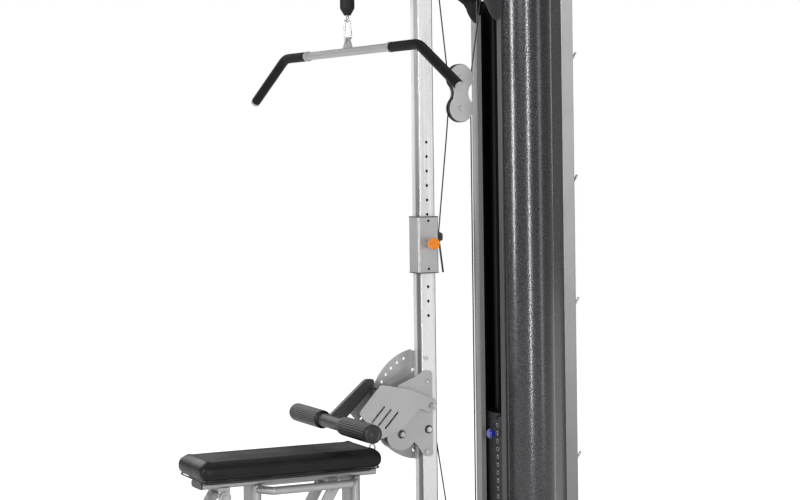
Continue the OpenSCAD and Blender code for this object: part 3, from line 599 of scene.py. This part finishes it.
class PULLDOWN_OT_finishes(PieceOperator, bpy.types.Operator):
    """Finishes of the frame's own pieces"""
    bl_idname = "pulldown.finishes"
    bl_label = "Frame finishes"

    def execute(self, context):
        look = self.look
        # painted shade: the column's silver darkens towards the floor
        paint(satin_silver(look, "column_silver_painted_shade", 1.15, 0.5), "rear_column")
        # painted light: the float plates' silver is lighter to make up for the lat bar's shadow
        paint(satin_silver(look, "plate_silver_painted_light", 1.15), "float_plates")
        paint(satin_silver(look), "foot_plates", "carriage_sleeve", "sector_plate", "row_plates",
              "lever_plates", "seat_posts", "seat_rail", "front_links", "rear_links", "lat_bar")
        paint(bright_tube(look), "upright_post")
        paint(graphite(look), "shroud_right", "shroud_left")
        paint(dark_frame(look), "base_beam", "cross_feet", "tower_base", "boom_channel", "boom_braces",
              "lever_arm")
        paint(rubber("dense_rubber", 16, 700), "rubber_feet", "stack_buffers", "rubber_stop")
        paint(rubber("grip_rubber", 9, 420, 0.14), "bar_grips")
        paint(moulded("moulded_black", tone(14, 14, 15)), "column_cap", "carriage_bushings", "seat_board")
        paint(moulded("pulley_nylon", tone(18, 18, 19), 0.42), "front_sheave", "boom_sheave",
              "tower_sheave", "float_sheave_upper", "float_sheave_lower", "row_sheave_front",
              "row_sheave_rear", "base_sheave", "cable_clevis")
        paint(moulded("blacked_rod", tone(34, 34, 35), 0.5), "guide_rods")
        paint(edge_strip(look), "front_trims")
        paint(plated_steel(), "accessory_pegs", "frame_bolts", "hinge_bolt", "selector_stem",
              "selector_pin", "carabiner")
        paint(cast_iron(), "weight_plates", "lifted_plates", "head_plate")
        paint(knob("knob_blue", look.blue), "pin_knob")
        paint(knob("knob_orange", look.orange), "carriage_knob", "hold_pin")
        paint(moulded("cord_navy", tone(24, 34, 84)), "pin_lanyard")
        return {"FINISHED"}


class PULLDOWN_OT_seat(PieceOperator, bpy.types.Operator):
    """Upholstered seat pad"""
    bl_idname = "pulldown.seat"
    bl_label = "Seat pad"

    def execute(self, context):
        low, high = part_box("seat_pad")
        size = high - low
        middle = (low + high) / 2
        deselect()
        bpy.ops.mesh.primitive_cube_add(size=1, location=middle, scale=size)
        pad = context.object
        bpy.ops.object.transform_apply(location=True, rotation=True, scale=True)
        self.corners(pad)
        self.top_bevel(pad, high)
        modifier(pad, "REMESH", mode="VOXEL", voxel_size=0.006)
        modifier(pad, "SMOOTH", factor=0.5, iterations=4)
        self.stuff(pad, low, high)
        modifier(pad, "SUBSURF", levels=1, render_levels=1)
        outward(pad)
        active(pad)
        for polygon in pad.data.polygons:
            polygon.use_smooth = True
        piece = named("seat_cover", grained_vinyl(self.look), "seat", "seat_pad", slot="pad_vinyl")
        self.welt(low, high)
        return {"FINISHED"}

    def corners(self, pad):
        """Rounds the four upright corners."""
        active(pad)
        bpy.ops.object.mode_set(mode="EDIT")
        bpy.ops.mesh.select_all(action="DESELECT")
        bpy.ops.object.mode_set(mode="OBJECT")
        for edge in pad.data.edges:
            first, second = (pad.data.vertices[i].co for i in edge.vertices)
            edge.select = abs(first.z - second.z) > 0.01
        bpy.ops.object.mode_set(mode="EDIT")
        bpy.ops.mesh.select_mode(type="EDGE")
        bpy.ops.mesh.bevel(offset=0.026, segments=8)
        bpy.ops.object.mode_set(mode="OBJECT")

    def top_bevel(self, pad, high):
        """Slopes the upper edge in as one inset band."""
        active(pad)
        bpy.ops.object.mode_set(mode="EDIT")
        bpy.ops.mesh.select_mode(type="FACE")
        bpy.ops.mesh.select_all(action="DESELECT")
        bpy.ops.object.mode_set(mode="OBJECT")
        for face in pad.data.polygons:
            face.select = face.normal.z > 0.9
        bpy.ops.object.mode_set(mode="EDIT")
        bevel = self.sizes.bevel
        bpy.ops.mesh.inset(thickness=bevel, depth=0)
        bpy.ops.object.mode_set(mode="OBJECT")
        rim = [vertex for vertex in pad.data.vertices if vertex.co.z > high.z - 0.0001 and not vertex.select]
        for vertex in rim:
            vertex.co.z = high.z - 0.62 * bevel

    def stuff(self, pad, low, high):
        """Crowns the top, rounds the sides out and dimples the skin a little."""
        middle = (low + high) / 2
        half = (high - low) / 2
        for vertex in pad.data.vertices:
            across = min(1, abs(vertex.co.x) / half.x)
            along = min(1, abs(vertex.co.y - middle.y) / half.y)
            rise = (vertex.co.z - low.z) / (high.z - low.z)
            if rise > 0.5:
                vertex.co.z += self.sizes.crown * (1 - across ** 2) * (1 - along ** 6) * (rise - 0.5) * 2
            belly = 0.0022 * math.sin(math.pi * min(1, max(0, rise)))
            vertex.co.x += belly * (1 if vertex.co.x > 0 else -1) * (across > 0.9)
            vertex.co.y += belly * (1 if vertex.co.y > middle.y else -1) * (along > 0.96)
            wave = noise.noise(Vector((vertex.co.x * 26, vertex.co.y * 14, vertex.co.z * 30)))
            vertex.co += vertex.normal * wave * 0.0005

    def welt(self, low, high):
        """The staple line's rolled edge under the pad."""
        corner = 0.024
        inset = 0.006
        points = []
        for x_side, y_side, start in ((1, 1, 0), (-1, 1, 90), (-1, -1, 180), (1, -1, 270)):
            centre = Vector((x_side * (high.x - inset - corner), 0, low.z + 0.0022))
            centre.y = (high.y - inset - corner) if y_side > 0 else (low.y + inset + corner)
            for i in range(9):
                turn = math.radians(start + i * 90 / 8)
                points.append(centre + corner * Vector((math.cos(turn), math.sin(turn), 0)))
        tube(points, 0.0024, 2, cyclic=True)
        named("seat_welt", grained_vinyl(self.look), "seat", slot="pad_vinyl")


class PULLDOWN_OT_rollers(PieceOperator, bpy.types.Operator):
    """Fluted foam rollers with end caps"""
    bl_idname = "pulldown.rollers"
    bl_label = "Thigh rollers"

    def execute(self, context):
        foam = roller_foam(self.look)
        plastic = moulded("roller_cap", tone(12, 12, 13), 0.4)
        for side, word in ((1, "right"), (-1, "left")):
            node = f"roller_{word}"
            low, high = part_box(node)
            radius = (high.z - low.z) / 2
            inner, outer = sorted((abs(low.x), abs(high.x)))
            centre = Vector((side * inner, (low.y + high.y) / 2, (low.z + high.z) / 2))
            cap_depth = 0.0085
            length = outer - inner - cap_depth
            body = f"thigh_roller_{word}"
            self.foam(centre, side, length, radius)
            piece = named(f"{word}_roller_foam", foam, body, node, slot="roller_foam")
            self.cap(centre + Vector((side * length, 0, 0)), side, radius)
            named(f"{word}_roller_cap", plastic, body, slot="moulded_black")
        return {"FINISHED"}

    def foam(self, centre, side, length, radius):
        """A foam sleeve with eased ends and flutes along it."""
        edge = 0.0045
        bore = 0.0152
        rows = 24
        flutes = 24
        profile = [(0, bore), (0, radius - edge), (0.0015, radius - 0.0015), (edge, radius)]
        profile += [(edge + (length - 2 * edge) * i / rows, radius) for i in range(1, rows)]
        profile += [(length - edge, radius), (length - 0.0012, radius - 0.0012), (length, radius - 0.004),
                    (length, bore)]
        piece = lathe(profile, centre, (side, 0, 0), 144)
        for vertex in piece.data.vertices:
            offset = vertex.co - centre
            reach = math.hypot(offset.y, offset.z)
            if reach > radius * 0.8:
                angle = math.atan2(offset.z, offset.y)
                flute = 0.5 - 0.5 * math.cos(angle * flutes)
                ends = min(1, min(abs(offset.x), length - abs(offset.x)) / 0.006)
                share = 1 - self.sizes.flute * (1 - flute) ** 3 * max(0, ends) / reach
                vertex.co.y = centre.y + offset.y * share
                vertex.co.z = centre.z + offset.z * share
        smooth(piece, 50)

    def cap(self, centre, side, radius):
        """The end cap, with a rolled rim and a flat boss."""
        profile = [(-0.001, 0.0001), (-0.001, radius - 0.003), (0.0005, radius - 0.0012),
                   (0.004, radius - 0.0012), (0.0068, radius - 0.0035), (0.0074, radius - 0.007),
                   (0.0058, radius - 0.0095), (0.0052, 0.008), (0.0066, 0.006), (0.0066, 0.0001)]
        piece = lathe(profile, centre, (side, 0, 0), 72)
        smooth(piece, 40)


class PULLDOWN_OT_cables(PieceOperator, bpy.types.Operator):
    """Jacketed cables along their pulleys"""
    bl_idname = "pulldown.cables"
    bl_label = "Cables"

    def execute(self, context):
        self.jacket = cable_jacket()
        wrap = self.sizes.wrap
        front, boom, tower = (pivot(f"{name}_pulley_spin") for name in ("front", "boom", "tower"))
        upper, lower = pivot("floating_upper_spin"), pivot("floating_lower_spin")
        row_front, row_rear, base = pivot("row_front_spin"), pivot("row_rear_spin"), pivot("base_pulley_spin")
        # how far the runs beside the upper pulleys and behind the row pulleys lean from upright, in degrees
        left, right, rear = 6.5, 10, 9
        # fixed runs
        clip = Vector((0, row_front.y - 0.094, row_front.z - 0.004))
        low_run = [clip] + arc(row_front, wrap, 120, 86, 6) + arc(row_rear, wrap - 0.004, 86, rear, 10)
        low_run += arc(base, wrap, 180 + rear, 360, 24)
        self.run("row_cable", low_run, "frame", "cable_fixed")
        over = arc(boom, wrap, left, 90, 12) + arc(front, wrap, 90, 180, 14)
        self.run("boom_cable", over, "frame")
        top = arc(tower, wrap, 180 - right, 0, 24)
        self.run("tower_cable", top, "frame")
        # wraps that travel with the floating pulleys
        low_wrap = arc(lower, wrap, 0, 180 - left, 24)
        high_wrap = arc(upper, wrap, 180 + left, 360 - right, 24)
        self.run("float_wrap_lower", low_wrap, "floating", "cable_float")
        self.run("float_wrap_upper", high_wrap, "floating")
        # straight runs between something fixed and something that moves
        split = Vector((0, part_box("cable_carriage")[1].y - 0.0025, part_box("cable_carriage")[1].z))
        clevis = Vector((0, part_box("cable_carriage")[0].y + 0.0025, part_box("cable_carriage")[0].z))
        base_top = base + Vector((0, wrap, 0))
        self.stretch("rise_cable", base_top, low_wrap[0], "frame", "floating")
        self.stretch("float_to_split", split, low_wrap[-1], "frame", "floating")
        self.stretch("carriage_cable", split, clevis, "frame", "carriage", "cable_carriage")
        self.stretch("boom_to_float", over[0], high_wrap[0], "frame", "floating")
        self.stretch("tower_to_float", top[0], high_wrap[-1], "frame", "floating")
        drop = front - Vector((0, wrap, 0))
        drop_low = Vector((0, drop.y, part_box("cable_bar")[0].z))
        self.stretch("bar_cable", drop, drop_low, "frame", "bar_line", "cable_bar")
        stack = tower + Vector((0, wrap, 0))
        stack_low = Vector((0, stack.y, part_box("cable_stack")[0].z))
        self.stretch("stack_cable", stack, stack_low, "frame", "stack", "cable_stack")
        self.row_end(clip)
        return {"FINISHED"}

    def run(self, name, points, body, *replaced):
        tube(points, self.sizes.cable / 2, 2)
        named(name, self.jacket, body, *replaced, slot="cable_jacket")

    def stretch(self, name, first, last, body_a, body_b, *replaced):
        tube(between(first, last, 24), self.sizes.cable / 2, 2)
        piece = named(name, self.jacket, None, *replaced, slot="cable_jacket")
        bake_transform(piece)

    def row_end(self, clip):
        """Ball stop, ferrule and clip of the row cable."""
        ball = clip - Vector((0, 0, 0.007))
        lathe([(0.0109 * math.cos(math.pi * i / 16), max(0.0002, 0.011 * math.sin(math.pi * i / 16)))
               for i in range(17)], ball, (0, 0, 1), 32)
        smooth(bpy.context.object, 60)
        named("row_ball_stop", rubber("ball_rubber", 14, 600), "frame", slot="rubber")
        ring = ball - Vector((0, 0.002, 0.034))
        steel = plated_steel()
        tube([ball - Vector((0, 0, 0.004)), ball - Vector((0, 0.001, 0.012)), ring + Vector((0, 0, 0.013))],
             0.0048, 3)
        named("row_ferrule", steel, "frame", slot="plated_steel")
        loop = [ring + Vector((0, 0.0105 * math.cos(turn), 0.0145 * math.sin(turn)))
                for turn in (math.tau * i / 40 for i in range(40))]
        tube(loop, 0.0028, 3, cyclic=True)
        named("row_clip", steel, "frame", slot="plated_steel")


class PULLDOWN_OT_shrouds(PieceOperator, bpy.types.Operator):
    """Smooth rolled shrouds of the weight tower"""
    bl_idname = "pulldown.shrouds"
    bl_label = "Shrouds"

    def execute(self, context):
        coat = graphite(self.look)
        for side, word in ((1, "right"), (-1, "left")):
            node = f"shroud_{word}"
            low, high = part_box(node)
            profile = self.profile(low, high, side)
            piece = outline(profile)
            edit_all(piece)
            rows = 24
            rise = (high.z - low.z) / rows
            for _ in range(rows):
                bpy.ops.mesh.extrude_region_move(TRANSFORM_OT_translate={"value": (0, 0, rise)})
            bpy.ops.object.mode_set(mode="OBJECT")
            outward(piece)
            self.face_out(piece, side)
            modifier(piece, "SOLIDIFY", thickness=self.sizes.wall, offset=-1)
            smooth(piece, 40)
            named(f"{word}_shroud", coat, "frame", node, slot="dark_frame")
        return {"FINISHED"}

    def profile(self, low, high, side):
        """Front hem, half-round bulge, crease and rear web, looking down."""
        reach = max(abs(low.x), abs(high.x))
        bulge = 0.096
        mouth = 0.1045
        column = 0.0325
        margin = 0.001
        first, sweep, steps = -76, 158, 56
        centre = Vector((reach - bulge, low.y + 0.093))
        points = [Vector((mouth - margin, low.y + margin + self.sizes.hem)), Vector((mouth, low.y + margin))]
        points += [centre + bulge * Vector((math.cos(turn), math.sin(turn)))
                   for turn in (math.radians(first + sweep * i / steps) for i in range(steps + 1))]
        crease = points[-1]
        rear = Vector((column, high.y - margin))
        points += [crease + Vector((-0.004, 0.004)), crease.lerp(rear, 0.12), rear]
        return [Vector((side * point.x, point.y, low.z)) for point in points]

    def face_out(self, piece, side):
        """Turns the shell so that its outer face looks away from the stack."""
        mesh = piece.data
        outer = max(mesh.polygons, key=lambda face: abs(face.center.x))
        if outer.normal.x * side < 0:
            edit_all(piece)
            bpy.ops.mesh.flip_normals()
            bpy.ops.object.mode_set(mode="OBJECT")


class PULLDOWN_OT_details(PieceOperator, bpy.types.Operator):
    """Washers of the row pulleys' bolts and the hole marks of the stack"""
    bl_idname = "pulldown.details"
    bl_label = "Small details"

    def execute(self, context):
        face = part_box("row_plates")[1].x
        black = moulded("washer_black", tone(10, 10, 11), 0.4)
        for name in ("row_front", "row_rear"):
            centre = pivot(f"{name}_spin")
            centre.x = face
            lathe([(0, 0.0055), (0.0022, 0.0055), (0.0022, 0.0125), (0.0012, 0.0145), (0, 0.0148)],
                  centre, (1, 0, 0), 40)
            smooth(bpy.context.object, 40)
            named(f"{name}_washer", black, "frame", slot="moulded_black")
        self.marks("weight_plates", "frame")
        self.marks("lifted_plates", "stack")
        return {"FINISHED"}

    def marks(self, node, body):
        """A pale bush ring round the pin hole of each plate."""
        low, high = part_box(node)
        pitch = 0.028
        section = [(0, 0.0052), (0.0006, 0.0052), (0.0006, 0.007), (0, 0.0072)]
        rings = []
        for i in range(round((high.z - low.z) / pitch)):
            centre = Vector((0, low.y, low.z + pitch * (i + 0.5)))
            rings.append(lathe(section, centre, (0, -1, 0), 20))
        deselect()
        for ring in rings:
            ring.select_set(True)
        bpy.context.view_layer.objects.active = rings[0]
        if len(rings) > 1:
            bpy.ops.object.join()
        smooth(bpy.context.object, 40)
        named(f"{node}_marks", plated_steel(), body, slot="plated_steel")


class PULLDOWN_PT_panel(bpy.types.Panel):
    """The sidebar's list of pieces"""
    bl_label = "Lat Pulldown Machine"
    bl_idname = "PULLDOWN_PT_panel"
    bl_space_type = "VIEW_3D"
    bl_region_type = "UI"
    bl_category = "Pulldown"

    def draw(self, context):
        for operator in OPERATORS:
            self.layout.operator(operator.bl_idname)
        for group in (context.scene.pulldown_sizes, context.scene.pulldown_colours):
            for name in group.bl_rna.properties.keys():
                if name not in ("rna_type", "name"):
                    self.layout.prop(group, name)


OPERATORS = (PULLDOWN_OT_stage, PULLDOWN_OT_finishes, PULLDOWN_OT_seat, PULLDOWN_OT_rollers,
             PULLDOWN_OT_cables, PULLDOWN_OT_shrouds, PULLDOWN_OT_details)
CLASSES = (PulldownSizes, PulldownColours, *OPERATORS, PULLDOWN_PT_panel)


def register():
    for cls in CLASSES:
        bpy.utils.register_class(cls)
    bpy.types.Scene.pulldown_sizes = PointerProperty(type=PulldownSizes)
    bpy.types.Scene.pulldown_colours = PointerProperty(type=PulldownColours)


def unregister():
    del bpy.types.Scene.pulldown_sizes
    del bpy.types.Scene.pulldown_colours
    for cls in reversed(CLASSES):
        bpy.utils.unregister_class(cls)


def main():
    register()
    bpy.context.scene.view_settings.view_transform = "Standard"
    for operator in OPERATORS:
        group, name = operator.bl_idname.split(".")
        getattr(getattr(bpy.ops, group), name)()


if __name__ == "__main__":
    main()
